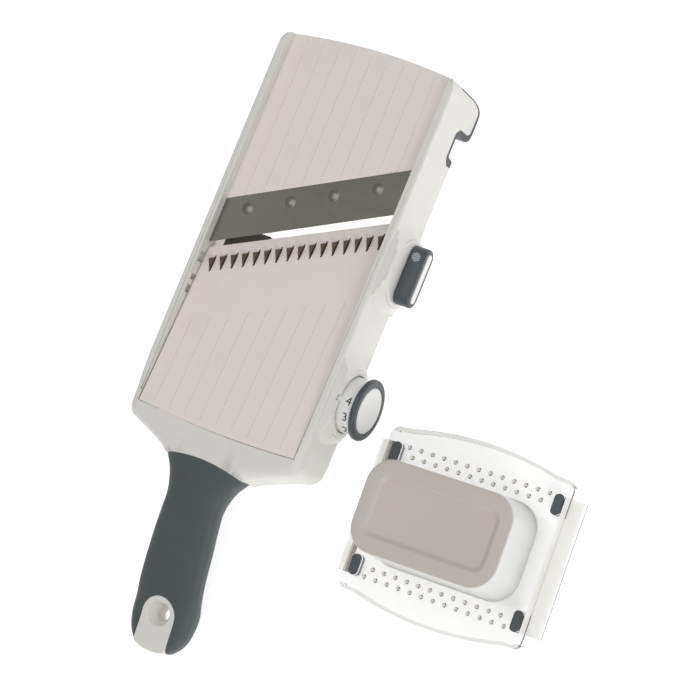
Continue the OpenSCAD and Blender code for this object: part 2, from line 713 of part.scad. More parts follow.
module guard_plate() color(clear) at_guard() {
  plate_low = guard_plate_z - 2.2;
  difference() {
    union() {
      translate([0, 0, plate_low]) linear_extrude(2.2) guard_outline();
      // end skirts
      for (end = [0, 1]) mirror([0, end, 0]) intersection() {
        translate([0, 0, 3.6]) linear_extrude(plate_low - 3.6 + eps) difference() {
          guard_outline();
          guard_outline(2);
        }
        translate([-60, 43, 0]) cube([120, 20, 20]);
      }
      // sloping side wings that stand on the table
      for (side = [0, 1]) mirror([side, 0, 0]) along_y(-wing_y, wing_y)
        polygon([[guard_flat_w / 2 - 1, guard_plate_z], [guard_flat_w / 2 + 0.6, guard_plate_z],
          [wing_out, 1.6], [wing_out + 1.4, 0.9], [wing_out + 1.4, 0], [wing_out - 1, 0],
          [guard_flat_w / 2 - 1, plate_low]]);
    }
    // mouth of the food pocket
    translate([0, 0, plate_low - 1]) linear_extrude(4)
      cap_plan(cap_half_x - cap_wall - 1, cap_half_y - cap_wall - 1, 13);
    translate([0, 0, plate_low - 5]) linear_extrude(10) guard_foot_plan();
  }
  // holding spikes in staggered rows beside the pocket
  for (side = [-1, 1], i = [0 : 12]) spike(-41.5 + 6.92 * i, side * 36.6, plate_low);
  for (side = [-1, 1], i = [0 : 11]) spike(-38.1 + 6.92 * i, side * 31.7, plate_low);
}

module spike(x, y, z) {
  translate([x, y, z - 4.5]) cylinder(h = 4.5 + eps, r1 = 0.2, r2 = 1.3, $fn = 16);
}

module guard_cap() color(ivory) at_guard() difference() {
  union() {
    translate([0, 0, guard_plate_z]) linear_extrude(1.6)
      cap_plan(cap_half_x, cap_half_y, 15);
    translate([0, 0, guard_plate_z]) linear_extrude(cap_h - 1.5)
      cap_plan(cap_half_x - 0.6, cap_half_y - 0.6, 15);
    translate([0, 0, guard_plate_z + cap_h - 1.5 - eps]) linear_extrude(0.9)
      cap_plan(cap_half_x - 1.1, cap_half_y - 1.1, 14.5);
    translate([0, 0, guard_plate_z + cap_h - 0.6 - eps]) linear_extrude(0.6)
      cap_plan(cap_half_x - 2, cap_half_y - 2, 14);
  }
  // food pocket
  translate([0, 0, guard_plate_z - 1]) linear_extrude(cap_h - 4.2)
    cap_plan(cap_half_x - cap_wall - 0.6, cap_half_y - cap_wall - 0.6, 13);
  // shallow recess on top
  translate([0, 0, guard_plate_z + cap_h - 2]) linear_extrude(3)
    cap_plan(recess_half_x, recess_half_y, recess_r);
}

module guard_feet() color(charcoal) at_guard()
  translate([0, 0, guard_plate_z - 5.4]) linear_extrude(6.2) guard_foot_plan(0.02);

frame();
upper_runway();
runway_screws();
slicing_blade();
blade_rivets();
lower_runway();
runway_hinge_pins();
julienne_carrier();
julienne_blades();
julienne_knob();
julienne_knob_insert();
knob_screw();
julienne_shaft();
julienne_crank();
julienne_bush();
dial_drum();
dial_rim();
dial_face();
dial_screw();
dial_shaft();
dial_cams();
dial_bushes();
detent_wheel();
detent_spring();
handle_grip();
foot_pad_left();
foot_pad_right();
guard_plate();
guard_cap();
guard_feet();
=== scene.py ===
"""Looks of the mandoline slicer and its food guard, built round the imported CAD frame."""
import json
import math

import bmesh
import bpy
from mathutils import Matrix, Vector


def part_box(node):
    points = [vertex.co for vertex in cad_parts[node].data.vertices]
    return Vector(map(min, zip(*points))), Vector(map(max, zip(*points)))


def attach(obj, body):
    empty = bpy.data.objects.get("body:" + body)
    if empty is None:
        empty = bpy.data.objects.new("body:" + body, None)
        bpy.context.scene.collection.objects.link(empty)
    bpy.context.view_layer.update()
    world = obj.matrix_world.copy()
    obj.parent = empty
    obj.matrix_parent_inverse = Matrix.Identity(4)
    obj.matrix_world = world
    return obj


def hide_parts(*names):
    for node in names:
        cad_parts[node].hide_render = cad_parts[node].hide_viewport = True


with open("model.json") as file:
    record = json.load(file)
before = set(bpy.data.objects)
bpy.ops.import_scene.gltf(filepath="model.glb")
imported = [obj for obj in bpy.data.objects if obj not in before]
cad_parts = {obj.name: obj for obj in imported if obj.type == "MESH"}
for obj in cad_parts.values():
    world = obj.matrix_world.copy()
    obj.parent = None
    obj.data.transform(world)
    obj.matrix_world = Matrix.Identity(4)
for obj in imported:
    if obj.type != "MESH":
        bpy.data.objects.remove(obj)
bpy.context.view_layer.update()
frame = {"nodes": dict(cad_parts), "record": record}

MM = 0.001
NODES = frame["nodes"]


def box_mm(node):
    """Lowest and highest corner of a CAD node, in millimetres."""
    low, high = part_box(node)
    return Vector(low) / MM, Vector(high) / MM


# ------------------------------------------------------------------ materials

NOISE_ROUGHNESS = 0.55
WEAR = 3.5 * MM
CLEAR_LEVEL = (0.93, 0.95, 0.965, 1)
# browner colour for the upright faces of the clear plastic: painted shade for the dark look of its
# edges
CLEAR_UPRIGHT_PAINTED_SHADE = (0.68, 0.63, 0.57, 1)
CLEAR_SHADOW = (0.93, 0.94, 0.935, 1)
CLEAR_DEPTH = (0.58, 0.54, 0.5, 1)
ACRYLIC_IOR = 1.49
# how far up a face's normal points where it counts as upright, and where as level
UPRIGHT, LEVEL = 0.35, 0.9
# between these places along X the painted sheen, a lighter colour at the blade's left end, fades,
# in metres
SHEEN_LEFT, SHEEN_RIGHT = -50 * MM, 5 * MM


def srgb(red, green, blue):
    """A display colour, 0 to 255 a channel, as the linear colour that Blender works in."""
    def linear(c):
        c /= 255
        return c / 12.92 if c <= 0.04045 else ((c + 0.055) / 1.055) ** 2.4
    return (linear(red), linear(green), linear(blue), 1.0)


def shaded(colour, factor):
    """A colour made lighter or darker."""
    return tuple(min(1.0, c * factor) for c in colour[:3]) + (1.0,)


def add_node(tree, kind, **inputs):
    """A shader node with its inputs set by name, where spaces are written as underscores."""
    node = tree.nodes.new(kind)
    for name, value in inputs.items():
        node.inputs[name.replace("_", " ")].default_value = value
    return node


def noise(tree, coords, size, detail=3.0, stretch=(1, 1, 1), turn=0.0):
    """Noise with lumps of about the given size in metres, stretched along turned axes."""
    mapping = add_node(tree, "ShaderNodeMapping", Scale=stretch, Rotation=(0, 0, turn))
    tree.links.new(coords, mapping.inputs["Vector"])
    texture = add_node(tree, "ShaderNodeTexNoise", Scale=1 / size, Detail=detail,
                       Roughness=NOISE_ROUGHNESS)
    tree.links.new(mapping.outputs["Vector"], texture.inputs["Vector"])
    return texture.outputs["Fac"]


def ranged(tree, value, low, high, from_low=0.3, from_high=0.7):
    """Spreads a value's range, by default the middle of a noise, over low to high."""
    spread = add_node(tree, "ShaderNodeMapRange")
    spread.inputs["From Min"].default_value = from_low
    spread.inputs["From Max"].default_value = from_high
    spread.inputs["To Min"].default_value = low
    spread.inputs["To Max"].default_value = high
    tree.links.new(value, spread.inputs["Value"])
    return spread.outputs["Result"]


def colour_socket(sockets, name):
    """The colour socket of a Mix node, which has others of the same name."""
    return next(s for s in sockets if s.name == name and s.type == "RGBA")


def mixed_colour(tree, factor, low, high):
    """A mix of two fixed colours."""
    mix = tree.nodes.new("ShaderNodeMix")
    mix.data_type = "RGBA"
    colour_socket(mix.inputs, "A").default_value = low
    colour_socket(mix.inputs, "B").default_value = high
    tree.links.new(factor, mix.inputs["Factor"])
    return colour_socket(mix.outputs, "Result")


def blended(tree, factor, low, high):
    """A mix from the colour socket low to the fixed colour high."""
    result = mixed_colour(tree, factor, high, high)
    tree.links.new(low, colour_socket(result.node.inputs, "A"))
    return result


def steep(tree):
    """A socket that is 1 on faces that stand upright and 0 on faces that look up or down, used to
    paint light and shade into colours.
    """
    axes = tree.nodes.new("ShaderNodeSeparateXYZ")
    tree.links.new(tree.nodes.new("ShaderNodeTexCoord").outputs["Normal"], axes.inputs["Vector"])
    size = add_node(tree, "ShaderNodeMath")
    size.operation = "ABSOLUTE"
    tree.links.new(axes.outputs["Z"], size.inputs[0])
    return ranged(tree, size.outputs["Value"], 1.0, 0.0, UPRIGHT, LEVEL)


def leftward(tree):
    """A socket that is 1 at the left end of the blade and 0 from its middle on, where it paints a
    sheen into the blade's colour.
    """
    axes = tree.nodes.new("ShaderNodeSeparateXYZ")
    tree.links.new(tree.nodes.new("ShaderNodeTexCoord").outputs["Object"], axes.inputs["Vector"])
    return ranged(tree, axes.outputs["X"], 1.0, 0.0, SHEEN_LEFT, SHEEN_RIGHT)


def surface(name, colour, roughness, grain=0.4 * MM, depth=0.006 * MM, mottle=0.03,
            cloud=18 * MM, spread=0.06, stretch=(1, 1, 1), turn=0.0, other=None, where=None,
            **constants):
    """A solid material: clouded colour, varied roughness and a fine surface grain.

    Where the socket made by the function where is 1, the colour is other; the script uses this to
    paint light and shade into a colour.
    """
    material = bpy.data.materials.new(name)
    material.use_nodes = True
    tree = material.node_tree
    shader = tree.nodes["Principled BSDF"]
    coords = tree.nodes.new("ShaderNodeTexCoord").outputs["Object"]
    clouds = noise(tree, coords, cloud, detail=4.0)
    fine = noise(tree, coords, grain, detail=2.0, stretch=stretch, turn=turn)
    tint = mixed_colour(tree, ranged(tree, clouds, 0.0, 1.0),
                        shaded(colour, 1 - mottle), shaded(colour, 1 + mottle))
    if other:
        tint = blended(tree, where(tree), tint, other)
    tree.links.new(tint, shader.inputs["Base Color"])
    worn = noise(tree, coords, WEAR, detail=5.0, stretch=stretch, turn=turn)
    tree.links.new(ranged(tree, worn, roughness - spread, roughness + spread),
                   shader.inputs["Roughness"])
    bump = add_node(tree, "ShaderNodeBump", Strength=1.0, Distance=depth)
    tree.links.new(fine, bump.inputs["Height"])
    tree.links.new(bump.outputs["Normal"], shader.inputs["Normal"])
    for socket, value in constants.items():
        shader.inputs[socket.replace("_", " ")].default_value = value
    return material


def clear_surface(name):
    """Clear moulded plastic, with painted shade that makes its upright faces browner, that lets
    lamps through.
    """
    material = bpy.data.materials.new(name)
    material.use_nodes = True
    tree = material.node_tree
    shader = tree.nodes["Principled BSDF"]
    tint = mixed_colour(tree, steep(tree), CLEAR_LEVEL, CLEAR_UPRIGHT_PAINTED_SHADE)
    tree.links.new(tint, shader.inputs["Base Color"])
    shader.inputs["Transmission Weight"].default_value = 1.0
    shader.inputs["IOR"].default_value = ACRYLIC_IOR
    coords = tree.nodes.new("ShaderNodeTexCoord").outputs["Object"]
    tree.links.new(ranged(tree, noise(tree, coords, 9 * MM), 0.015, 0.05),
                   shader.inputs["Roughness"])
    bump = add_node(tree, "ShaderNodeBump", Strength=1.0, Distance=0.004 * MM)
    tree.links.new(noise(tree, coords, 2.2 * MM), bump.inputs["Height"])
    tree.links.new(bump.outputs["Normal"], shader.inputs["Normal"])
    through = add_node(tree, "ShaderNodeBsdfTransparent", Color=CLEAR_SHADOW)
    path = tree.nodes.new("ShaderNodeLightPath")
    mix = tree.nodes.new("ShaderNodeMixShader")
    tree.links.new(path.outputs["Is Shadow Ray"], mix.inputs["Fac"])
    tree.links.new(shader.outputs["BSDF"], mix.inputs[1])
    tree.links.new(through.outputs["BSDF"], mix.inputs[2])
    output = tree.nodes["Material Output"]
    tree.links.new(mix.outputs["Shader"], output.inputs["Surface"])
    depth = add_node(tree, "ShaderNodeVolumeAbsorption", Color=CLEAR_DEPTH, Density=165)
    tree.links.new(depth.outputs["Volume"], output.inputs["Volume"])
    return material


SKEW = math.radians(25)      # the blade's slant across the rails
IVORY = surface("ivory_body", srgb(229, 227, 223), 0.42, mottle=0.012, depth=0.004 * MM,
                Subsurface_Weight=0.04, Subsurface_Radius=(0.004, 0.003, 0.002))
RUNWAY = surface("ivory_runway", srgb(239, 231, 227), 0.38, mottle=0.015, depth=0.004 * MM,
                 grain=0.5 * MM, stretch=(1, 0.08, 1))
BRIGHT = surface("bright_plastic", srgb(240, 240, 238), 0.35, mottle=0.01)
# painted light and shade: the cap's level faces get a darker, browner colour and its upright faces
# a lighter one
CAP = surface("cap_plastic", srgb(204, 196, 190), 0.45, mottle=0.012, depth=0.005 * MM,
              other=srgb(229, 229, 226), where=steep)
DARK = surface("dark_plastic", srgb(74, 80, 84), 0.42, mottle=0.06, depth=0.008 * MM)
GRIP = surface("grip_rubber", srgb(76, 82, 84), 0.56, mottle=0.05, depth=0.012 * MM,
               grain=0.3 * MM, cloud=30 * MM, Sheen_Weight=0.12, Sheen_Roughness=0.4)
# painted sheen: the blade's colour is made lighter at its left end, like a reflection
BLADE = surface("blade_steel", srgb(114, 112, 106), 0.36, grain=0.22 * MM, depth=0.004 * MM,
                mottle=0.05, stretch=(0.03, 1, 1), turn=-SKEW, Metallic=1.0,
                other=srgb(132, 130, 125), where=leftward)
FINS = surface("fin_steel", srgb(120, 112, 96), 0.36, grain=0.2 * MM, Metallic=1.0)
STEEL = surface("fastener_steel", srgb(196, 196, 192), 0.24, grain=0.3 * MM, Metallic=1.0)
RIVETS = surface("rivet_steel", srgb(132, 130, 124), 0.3, grain=0.3 * MM, Metallic=1.0)
# painted light: a lighter copy of the dark plastic, for the carrier that lies in shade under the
# slot
CARRIER_PAINTED_LIGHT = surface("carrier_plastic_painted_light", srgb(116, 114, 110), 0.5, mottle=0.05)
# painted shade: a dark colour for strips that stand in for the shadow down in the fins' slits
SLIT_SHADE = surface("slit_painted_shade", srgb(62, 56, 50), 0.8, mottle=0.1)
INK = surface("dial_ink", srgb(44, 48, 50), 0.5, mottle=0.05)
ICON = surface("icon_print", srgb(176, 182, 184), 0.5, mottle=0.05)
CLEAR = clear_surface("clear_plastic")


# ------------------------------------------------------------------ mesh tools

WELD = 0.002 * MM
AROUND = 128

def link(name, mesh):
    piece = bpy.data.objects.new(name, mesh)
    bpy.context.scene.collection.objects.link(piece)
    return piece


def dress(piece, body, slot, material, *stands_for):
    """Gives a piece its material, its body and the CAD nodes it stands for. The slot argument is
    not used.
    """
    piece.data.materials.clear()
    piece.data.materials.append(material)
    for face in piece.data.polygons:
        face.material_index = 0
        face.use_smooth = True
    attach(piece, body)
    if stands_for:
        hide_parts(*stands_for)
    return piece


def mesh_from(bm):
    """A mesh from a bmesh, which is used up, without the shading marks of the CAD export."""
    bmesh.ops.recalc_face_normals(bm, faces=bm.faces)
    mesh = bpy.data.meshes.new("mesh")
    bm.to_mesh(mesh)
    bm.free()
    for layer in ("custom_normal", "sharp_edge", "sharp_face"):
        if layer in mesh.attributes:
            mesh.attributes.remove(mesh.attributes[layer])
    return mesh


def cleaned(mesh):
    """The mesh as a welded bmesh."""
    bm = bmesh.new()
    bm.from_mesh(mesh)
    bmesh.ops.remove_doubles(bm, verts=bm.verts, dist=WELD)
    return bm


def round_edges(bm, piece_name, radius_at, least_angle=28, segments=3):
    """A piece whose sharp edges are rounded by radius_at(middle of the edge in mm), in mm."""
    weights = {}
    largest = 0.0
    for edge in bm.edges:
        if len(edge.link_faces) != 2 or edge.calc_face_angle(0) < math.radians(least_angle):
            continue
        middle = (edge.verts[0].co + edge.verts[1].co) / (2 * MM)
        radius = radius_at(middle)
        if radius > 0:
            weights[edge.index] = radius
            largest = max(largest, radius)
    layer = bm.edges.layers.float.new("bevel_weight_edge")
    bm.edges.ensure_lookup_table()
    for index, radius in weights.items():
        bm.edges[index][layer] = radius / largest
    piece = link(piece_name, mesh_from(bm))
    bevel = piece.modifiers.new("edges", "BEVEL")
    bevel.width = largest * MM
    bevel.segments = segments
    bevel.limit_method = "WEIGHT"
    bevel.use_clamp_overlap = False
    bevel.miter_outer = "MITER_ARC"
    weighted(piece)
    return piece


def weighted(piece):
    """Lets large faces decide the shading, so that flats stay flat beside rounded edges."""
    normals = piece.modifiers.new("normals", "WEIGHTED_NORMAL")
    normals.keep_sharp = True


def refined(node, body, slot, material, radius, segments=3):
    """A CAD node's shape with rounded edges. radius is in mm, or a function of the place."""
    radius_at = radius if callable(radius) else lambda middle: radius
    bm = cleaned(NODES[node].data)
    bm.edges.index_update()
    piece = round_edges(bm, node + "_moulded", radius_at, segments=segments)
    return dress(piece, body, slot, material, node)


def make_row(bm, ring):
    """New vertices of a bmesh at the points of a ring in mm."""
    return [bm.verts.new(Vector(p) * MM) for p in ring]


def stitch(bm, rows):
    """Faces between rows of vertices that follow each other."""
    count = len(rows[0])
    for near, far in zip(rows, rows[1:]):
        for i in range(count):
            k = (i + 1) % count
            bm.faces.new((near[i], near[k], far[k], far[i]))


def add_prism(bm, bottom, top):
    """A closed solid between two outlines in mm that have the same count."""
    rows = [make_row(bm, bottom), make_row(bm, top)]
    stitch(bm, rows)
    bm.faces.new(rows[0][::-1])
    bm.faces.new(rows[1])


def loft(rings, cap_start=True):
    """A closed skin over rings of points in mm that all have the same count."""
    bm = bmesh.new()
    rows = [make_row(bm, ring) for ring in rings]
    stitch(bm, rows)
    if cap_start:
        bm.faces.new(list(reversed(rows[0])))
    bm.faces.new(rows[-1])
    bmesh.ops.remove_doubles(bm, verts=bm.verts, dist=0.0005 * MM)
    return bm


def turned_point(x, radius, step, pivot):
    """A point in mm on a circle round an axis along X through the pivot."""
    angle = 2 * math.pi * step / AROUND
    return x, pivot.y + radius * math.cos(angle), pivot.z + radius * math.sin(angle)


def revolve_x(profile, pivot):
    """A turned piece round an axis along X, from (x, radius) points in mm that end on the axis."""
    return loft([[turned_point(x, radius, i, pivot) for i in range(AROUND)]
                 for x, radius in profile])


def fillet(centre_a, centre_b, radius, start, end, steps=5):
    """Points of an arc, with angles in degrees."""
    return [(centre_a + radius * math.cos(math.radians(start + (end - start) * i / steps)),
             centre_b + radius * math.sin(math.radians(start + (end - start) * i / steps)))
            for i in range(steps + 1)]


def plain_piece(name, bm, body, slot, material, *stands_for, sharp=38):
    """A finished mesh whose edges sharper than an angle stay crisp."""
    mesh = mesh_from(bm)
    piece = dress(link(name, mesh), body, slot, material, *stands_for)
    mesh.set_sharp_from_angle(angle=math.radians(sharp))
    return piece


def cut(piece, *cutters):
    """The shape of a piece without its solid cutters, as a bmesh. Piece and cutters are used up."""
    for cutter in cutters:
        boolean = piece.modifiers.new("cut", "BOOLEAN")
        boolean.operation = "DIFFERENCE"
        boolean.solver = "EXACT"
        boolean.object = cutter
    bpy.context.view_layer.update()
    shape = bpy.data.meshes.new_from_object(
        piece.evaluated_get(bpy.context.evaluated_depsgraph_get()))
    bm = bmesh.new()
    bm.from_mesh(shape)
    for used in (piece, *cutters):
        bpy.data.objects.remove(used)
    return bm


# ------------------------------------------------------------------ slicer body

BODY_HALF = 56.0            # half the width across the rails at their top, in mm
WALL_LEAN = 2.9 / 39        # how much the outer walls spread per mm of depth
NEAR_R = 7.8                # near corners, seen from above
NEAR_Y = 93.8               # near edge of the body beside the handle
FAR_END = 321.0
RAIL_EDGE = 1.5             # rounding of the outer top edge along the rails
NEAR_EDGE = 5.7             # the same at the near corners
FADE_END, FADE_LENGTH = 132, 34
SMALL_EDGE = 0.35
# outline of the shoulder from the grip to the near corner, in mm
SHOULDER = [(21.5, 70), (21.5, 76), (23.6, 80.6), (26.9, 84), (33.7, 87.4), (42.2, 90.8),
            (46.5, 92.4)]


def edge_cutter(side):
    """Solid that rounds the outer top edge, softly at a near corner and less along the rail."""
    top = box_mm("frame")[1].z
    clear, lift = 0.02, 0.005
    narrow, wide, above = 1.5, 8, 3
    corner = fillet(BODY_HALF - NEAR_R, NEAR_Y + NEAR_R, NEAR_R, -68, 0, 12)
    rail = [(BODY_HALF, y) for y in (106, 111, 117, 124, 132, 150, 240, FAR_END)]
    points = [Vector(p) for p in SHOULDER + corner + rail]
    rings = []
    for i, point in enumerate(points):
        along = (points[min(i + 1, len(points) - 1)] - points[max(i - 1, 0)]).normalized()
        out = Vector((along.y, -along.x))
        near = min(1.0, max(0.0, (FADE_END - point.y) / FADE_LENGTH))
        radius = RAIL_EDGE + (NEAR_EDGE - RAIL_EDGE) * near * near * (3 - 2 * near)
        lean = WALL_LEAN if i >= len(SHOULDER) else 0.0
        reach = wide if i > len(SHOULDER) + 8 else narrow
        section = [(clear + lean * radius * (1 - math.sin(math.radians(t)))
                    - radius * (1 - math.cos(math.radians(t))),
                    top - radius * (1 - math.sin(math.radians(t))) + lift)
                   for t in range(0, 91, 10)]
        section += [(-radius, top + above), (reach, top + above), (reach, top - radius + lift)]
        rings.append([(side * (point.x + out.x * d), point.y + out.y * d, z) for d, z in section])
    return link("edge_cutter", mesh_from(loft(rings)))


def frame_radius(middle):
    """Small rounding of the frame's edges in mm, and none where they are soft or hidden."""
    side = abs(middle.x)
    outer_top = side > 52.5 and middle.z > 31
    shoulder = middle.y < 100 and middle.z > 12 and side > 12
    if outer_top or shoulder:
        return 0.0
    under_bosses = middle.x > 54 and middle.z < 4
    return 0.0 if under_bosses else SMALL_EDGE


def build_body():
    blank = link("frame_blank", mesh_from(cleaned(NODES["frame"].data)))
    bm = cut(blank, edge_cutter(1), edge_cutter(-1))
    bmesh.ops.remove_doubles(bm, verts=bm.verts, dist=WELD)
    bm.edges.index_update()
    piece = round_edges(bm, "frame_moulded", frame_radius)
    dress(piece, "slicer", "body_plastic", IVORY, "frame")
    refined("upper_runway", "slicer", "runway_plastic", RUNWAY, 0.15, segments=2)
    refined("lower_runway", "tilting_runway", "runway_plastic", RUNWAY, 0.15, segments=2)
    for side in ("left", "right"):
        refined("foot_pad_" + side, "slicer", "grip_rubber", GRIP, 0.45)


# ------------------------------------------------------------------ handle

GRIP_ARC_R = 98.3           # arched front edge of the grip, seen from above
GRIP_ARC_Y = 85.5 - GRIP_ARC_R
TAB_HALF = 10.3             # slot for the hanging tab
TAB_ROUND_Y = -1.8
SQUARENESS = 2.9            # 2 is an ellipse, more is squarer
# position along Y, half width, top and bottom of the grip, in mm
GRIP_STATIONS = [(-22.4, 3, 11.2, 6), (-21.4, 7.6, 12.8, 3.4), (-18.2, 12.9, 14.2, 1),
                 (-12.5, 17, 15, 0), (-5, 19.2, 16.2, 0), (4.5, 19.6, 18.8, 0.2),
                 (13, 19.6, 21.4, 6), (24, 19.2, 24.8, 10.4), (41, 18.6, 29.6, 14.2),
                 (54, 17.7, 33.1, 16.7), (64, 17.5, 35.5, 17.6), (74, 20.3, 37.4, 17.5),
                 (81, 24.6, 38.4, 16.4), (87, 29.2, 39, 14.6)]


def station(s):
    """The grip's section at a place s along its list of stations, on a smooth curve."""
    k = min(max(int(s), 0), len(GRIP_STATIONS) - 2)
    t = s - k
    p = [GRIP_STATIONS[min(max(k + d, 0), len(GRIP_STATIONS) - 1)] for d in (-1, 0, 1, 2)]
    return [0.5 * (2 * b + (c - a) * t + (2 * a - 5 * b + 4 * c - d) * t * t
                   + (3 * b - a - 3 * c + d) * t ** 3) for a, b, c, d in zip(*p)]


def grip_point(s, angle):
    """A point of the grip's skin in mm, at a place along its stations and an angle round it."""
    y, half, top, bottom = station(s)
    c, d = math.cos(angle), math.sin(angle)
    power = 2 / SQUARENESS
    return (half * math.copysign(abs(c) ** power, c), y,
            (top + bottom) / 2 + (top - bottom) / 2 * math.copysign(abs(d) ** power, d))


def grip_end(angle):
    """Where along the stations a line of the grip meets its arched front edge."""
    low, high = 9.0, len(GRIP_STATIONS) - 1.0
    for _ in range(30):
        s = (low + high) / 2
        x, y, _z = grip_point(s, angle)
        if y < GRIP_ARC_Y + math.sqrt((GRIP_ARC_R - 0.05) ** 2 - x * x):
            low = s
        else:
            high = s
    return low


def build_grip():
    around, along = 112, 72
    angles = [2 * math.pi * i / around for i in range(around)]
    ends = [grip_end(a) for a in angles]
    rings = [[grip_point(end * k / along, a) for a, end in zip(angles, ends)]
             for k in range(along + 1)]
    skin = link("grip_skin", mesh_from(loft(rings)))
    outline = [(TAB_HALF, -40)] + fillet(0, TAB_ROUND_Y, TAB_HALF, 0, 180, 36) + [(-TAB_HALF, -40)]
    walls = [[(x, y, z) for x, y in outline] for z in (-10, 60)]
    slot = link("slot_cutter", mesh_from(loft(walls)))
    bm = cut(skin, slot)
    bmesh.ops.remove_doubles(bm, verts=bm.verts, dist=0.01 * MM)
    plain_piece("handle_grip_moulded", bm, "slicer", "grip_rubber", GRIP, "handle_grip", sharp=40)


# ------------------------------------------------------------------ blade and fins

def build_blades():
    refined("slicing_blade", "slicer", "blade_steel", BLADE, 0.08, segments=2)
    refined("blade_rivets", "slicer", "fastener_steel", RIVETS, 0.15, segments=2)
    refined("julienne_blades", "julienne_lift", "fin_steel", FINS, 0.06, segments=1)
    refined("julienne_carrier", "julienne_lift", "dark_plastic", CARRIER_PAINTED_LIGHT, 0.3)
    build_slit_gaps()


def build_slit_gaps():
    """Dark strips of painted shade for the shadowed gap between each fin and the right side of its
    slit.
    """
    count, half_fin, gap = 16, 0.25, 0.5
    overlap, sunk, proud = 0.05, 0.4, 0.03
    top = max(NODES["lower_runway"].data.polygons, key=lambda face: face.area * face.normal.z)
    slope = -top.normal.y / top.normal.z
    low, high = box_mm("julienne_blades")
    pitch = (high.x - low.x - 2 * half_fin) / (count - 1)
    points = [vert.co / MM for vert in NODES["julienne_blades"].data.vertices]
    bm = bmesh.new()
    for i in range(count):
        x = low.x + half_fin + i * pitch
        reach = [p.y for p in points if abs(p.x - x) < 1]
        left, right = x + half_fin - overlap, x + half_fin + gap
        corners = [(left, min(reach)), (right, min(reach)), (right, max(reach)), (left, max(reach))]
        level = [(u, v, top.center.z / MM + slope * (v - top.center.y / MM)) for u, v in corners]
        add_prism(bm, [(u, v, z - sunk) for u, v, z in level],
                  [(u, v, z + proud) for u, v, z in level])
    plain_piece("julienne_slit_shade_strips", bm, "tilting_runway", "runway_plastic", SLIT_SHADE)


# ------------------------------------------------------------------ dials

DIAL = {j["name"]: Vector(j["pos_m"]) / MM for j in frame["record"]["behaviour"]["joints"]
        if "pos_m" in j}
DIGIT_STEP = 33.0           # turn from one setting to the next, in degrees
DIGIT_SIZE = 6.9
TOP_SETTING = 4
DRUM_R = 15.6
RIM_R = 17.3


def build_dial():
    pivot = DIAL["thickness_dial_turn"]
    drum_low, drum_high = box_mm("dial_drum")
    rim_high = box_mm("dial_rim")[1].x
    face_high = box_mm("dial_face")[1].x
    front = drum_high.x
    back = drum_low.x
    edge, gap = 0.4, 0.02
    drum = [(back, 0), (back, DRUM_R - edge)]
    drum += fillet(back + edge, DRUM_R - edge, edge, 180, 90, 3)
    drum += [(front - gap, DRUM_R), (front - gap, 0)]
    plain_piece("dial_drum_turned", revolve_x(drum, pivot), "thickness_dial",
                "bright_plastic", BRIGHT, "dial_drum")
    bore, back_edge, front_edge, bore_edge = 13.1, 0.7, 1.5, 0.3
    rim = [(front, bore)] + fillet(front + back_edge, RIM_R - back_edge, back_edge, 180, 90, 5)
    rim += fillet(rim_high - front_edge, RIM_R - front_edge, front_edge, 90, 0, 8)
    rim += fillet(rim_high - bore_edge, bore + bore_edge, bore_edge, 0, -90, 3) + [(front, bore)]
    rings = revolve_ring(rim, pivot)
    plain_piece("dial_rim_turned", rings, "thickness_dial", "dark_plastic", DARK, "dial_rim")
    face_r, face_edge, dish_r = 13, 0.9, 9.0
    face = [(front, 0), (front, face_r)]
    face += fillet(face_high - face_edge, face_r - face_edge, face_edge, 90, 0, 5)
    face += [(face_high - 0.25, dish_r), (face_high - 0.3, 0)]
    plain_piece("dial_face_turned", revolve_x(face, pivot), "thickness_dial",
                "bright_plastic", BRIGHT, "dial_face")
    wall_front = pivot.x + 1.9
    for setting in range(TOP_SETTING + 1):
        turn = (setting - TOP_SETTING) * DIGIT_STEP
        build_digit(setting, pivot, turn, (wall_front + front) / 2)


def revolve_ring(profile, pivot):
    """A turned ring from a closed profile of (x, radius) points in mm."""
    bm = bmesh.new()
    rows = [make_row(bm, [turned_point(x, radius, i, pivot) for x, radius in profile[:-1]])
            for i in range(AROUND)]
    stitch(bm, rows + rows[:1])
    return bm


def build_digit(number, pivot, angle, x):
    """A printed number wrapped on the drum at an angle from its top, centred at x."""
    curve = bpy.data.curves.new("digit", "FONT")
    curve.body = str(number)
    curve.align_x = "CENTER"
    curve.align_y = "CENTER"
    curve.size = DIGIT_SIZE
    curve.offset = 0.008
    curve.extrude = 0.05
    proud, sunk = 0.07, 0.1
    text = link("digit_text", curve)
    bpy.context.view_layer.update()
    shape = bpy.data.meshes.new_from_object(
        text.evaluated_get(bpy.context.evaluated_depsgraph_get()))
    bpy.data.objects.remove(text)
    bm = bmesh.new()
    bm.from_mesh(shape)
    bmesh.ops.remove_doubles(bm, verts=bm.verts, dist=0.001)
    bmesh.ops.triangulate(bm, faces=bm.faces)
    bmesh.ops.subdivide_edges(bm, edges=[e for e in bm.edges if e.calc_length() > 1], cuts=2)
    for vert in bm.verts:
        u, v, w = vert.co
        turn = math.radians(angle) + v / DRUM_R
        radius = DRUM_R + (proud if w > 0 else -sunk)
        vert.co = Vector((x + u, pivot.y + radius * math.sin(turn),
                          pivot.z + radius * math.cos(turn))) * MM
    plain_piece(f"dial_digit_{number}", bm, "thickness_dial", "dark_plastic", INK)


def stadium(x, y, z, half_len, radius, steps=20):
    """A stadium outline in the Y, Z plane at x, long in Y."""
    points = fillet(y + half_len, z, radius, -90, 90, steps)
    points += fillet(y - half_len, z, radius, 90, 270, steps)
    return [(x, a, b) for a, b in points]


